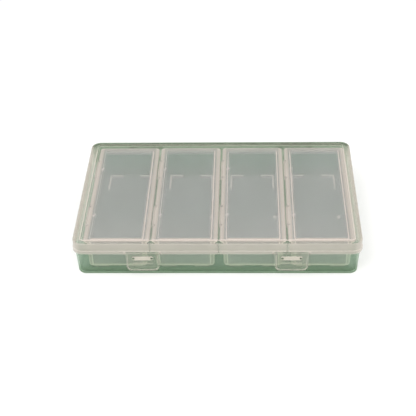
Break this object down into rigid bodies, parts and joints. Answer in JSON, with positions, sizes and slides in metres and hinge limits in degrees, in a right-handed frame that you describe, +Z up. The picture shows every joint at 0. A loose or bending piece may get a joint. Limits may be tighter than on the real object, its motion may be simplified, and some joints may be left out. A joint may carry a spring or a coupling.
{
  "type": "compartment storage box",
  "caption": "Flat green see-through case with a clear hinged lid, front latches and a row of clear inner boxes with their own lids.",
  "frame": {"origin": "centre of the base's flat underside, on the surface that the closed case rests on", "axes": "+X along the case's width to the right, +Y from the latches to the rear hinges, +Z up"},
  "size_m": [0.205, 0.1432, 0.0292],
  "materials": {
    "green_base": "see-through green, smooth",
    "clear_lid": "clear, smooth",
    "clear_latch": "clear, smooth",
    "clear_inner_box": "clear, smooth",
    "clear_inner_lid": "clear, smooth"
  },
  "bodies": {
    "base": {"base_tray": "green_base", "inner_box_1": "clear_inner_box", "inner_box_2": "clear_inner_box", "inner_box_3": "clear_inner_box", "inner_box_4": "clear_inner_box", "inner_lid_1": "clear_inner_lid", "inner_lid_2": "clear_inner_lid", "inner_lid_3": "clear_inner_lid", "inner_lid_4": "clear_inner_lid"},
    "lid": {"main_lid": "clear_lid"},
    "left_latch": {"latch_left": "clear_latch"},
    "right_latch": {"latch_right": "clear_latch"}
  },
  "joints": [
    {"name": "main_lid_hinge", "type": "hinge", "parent": "base", "child": "lid", "pos_m": [0, 0.0712, 0.0205], "axis": [-1, 0, 0], "range_deg": [0, 180]},
    {"name": "latch_left_hinge", "type": "hinge", "parent": "lid", "child": "left_latch", "pos_m": [-0.0525, -0.068, 0.0204], "axis": [-1, 0, 0], "range_deg": [0, 110]},
    {"name": "latch_right_hinge", "type": "hinge", "parent": "lid", "child": "right_latch", "pos_m": [0.0525, -0.068, 0.0204], "axis": [-1, 0, 0], "range_deg": [0, 110]}
  ]
}
